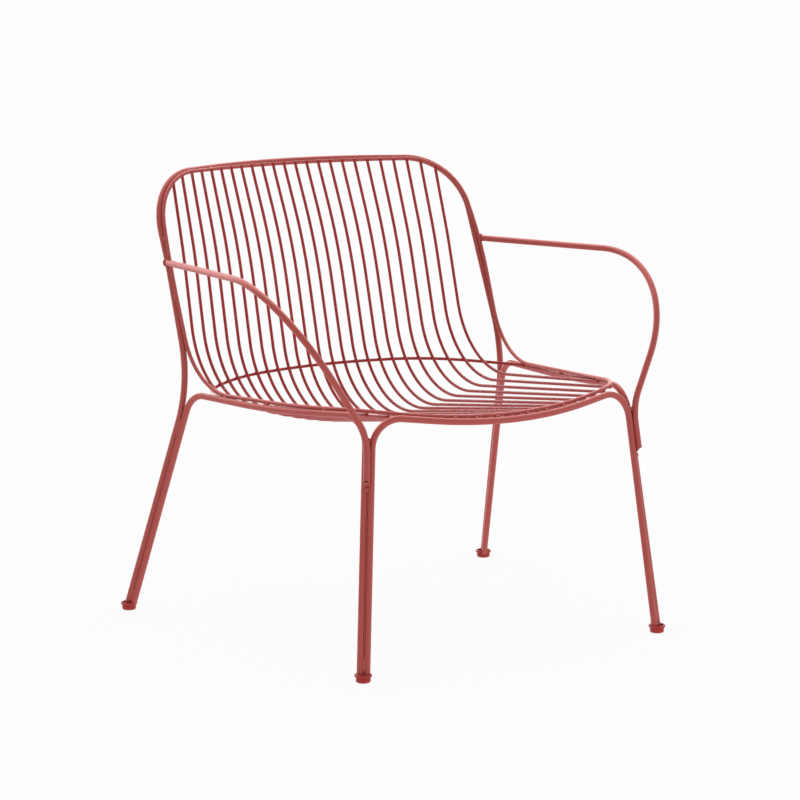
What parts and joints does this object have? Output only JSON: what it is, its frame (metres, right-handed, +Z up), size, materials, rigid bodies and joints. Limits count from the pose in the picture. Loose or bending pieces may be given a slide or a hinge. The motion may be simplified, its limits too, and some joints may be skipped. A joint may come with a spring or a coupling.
{
  "type": "garden armchair",
  "caption": "Low garden armchair of bent red-painted steel rod: a dished wire seat and back inside a closed ring, looped open arms, splayed paired-rod legs and cup feet.",
  "frame": {"origin": "on the floor, under the middle of the chair's bounding box", "axes": "+Z up, the sitter looks towards -Y, +X is at the right of someone standing in front"},
  "size_m": [0.7144, 0.6661, 0.6966],
  "materials": {
    "frame_paint": "satin powder coat, brick red",
    "foot_cup": "matte, the frame's red, slightly darker"
  },
  "bodies": {
    "root": {"back_hoop": "frame_paint", "side_hoop_left": "frame_paint", "side_hoop_right": "frame_paint", "front_hoop": "frame_paint", "seat_ring": "frame_paint", "arm_left": "frame_paint", "arm_right": "frame_paint", "rear_cross_wire": "frame_paint", "slat_01": "frame_paint", "slat_02": "frame_paint", "slat_03": "frame_paint", "slat_04": "frame_paint", "slat_05": "frame_paint", "slat_06": "frame_paint", "slat_07": "frame_paint", "slat_08": "frame_paint", "slat_09": "frame_paint", "slat_10": "frame_paint", "slat_11": "frame_paint", "slat_12": "frame_paint", "slat_13": "frame_paint", "slat_14": "frame_paint", "slat_15": "frame_paint", "slat_16": "frame_paint", "slat_17": "frame_paint", "slat_18": "frame_paint", "slat_19": "frame_paint", "slat_20": "frame_paint", "slat_21": "frame_paint", "slat_22": "frame_paint", "slat_23": "frame_paint", "slat_24": "frame_paint", "leg_welds": "frame_paint", "arm_welds": "frame_paint", "ring_welds": "frame_paint", "foot_front_left": "foot_cup", "foot_front_right": "foot_cup", "foot_rear_left": "foot_cup", "foot_rear_right": "foot_cup"}
  },
  "joints": []
}
